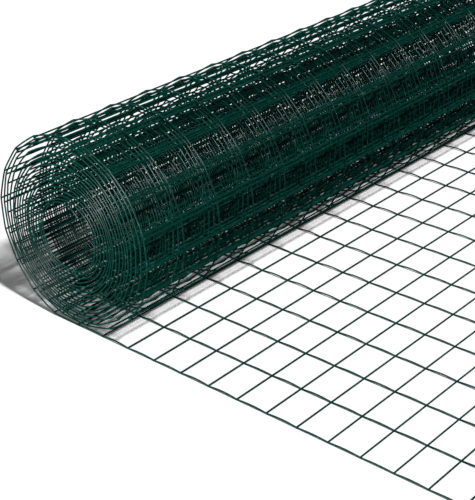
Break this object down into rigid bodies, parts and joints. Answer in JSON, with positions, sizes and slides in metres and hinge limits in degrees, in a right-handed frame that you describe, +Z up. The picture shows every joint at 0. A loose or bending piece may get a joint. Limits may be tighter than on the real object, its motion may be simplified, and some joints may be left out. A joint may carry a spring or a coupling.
{
  "type": "roll of wire fencing",
  "caption": "Roll of plastic-coated welded wire fencing, partly unrolled: wound turns of oblong mesh round an open centre, with a flat stretch laid out in front of the roll.",
  "frame": {"origin": "on the floor, at the middle of the whole object's outline", "axes": "+X along the roll's axis, -Y towards the laid end of the fence, +Z up from the floor"},
  "size_m": [1.2094, 0.8548, 0.2966],
  "materials": {
    "coated_wire": "dark green PVC coating on steel wire, satin"
  },
  "bodies": {
    "root": {"roll": "coated_wire", "laid_mesh": "coated_wire"}
  },
  "joints": []
}
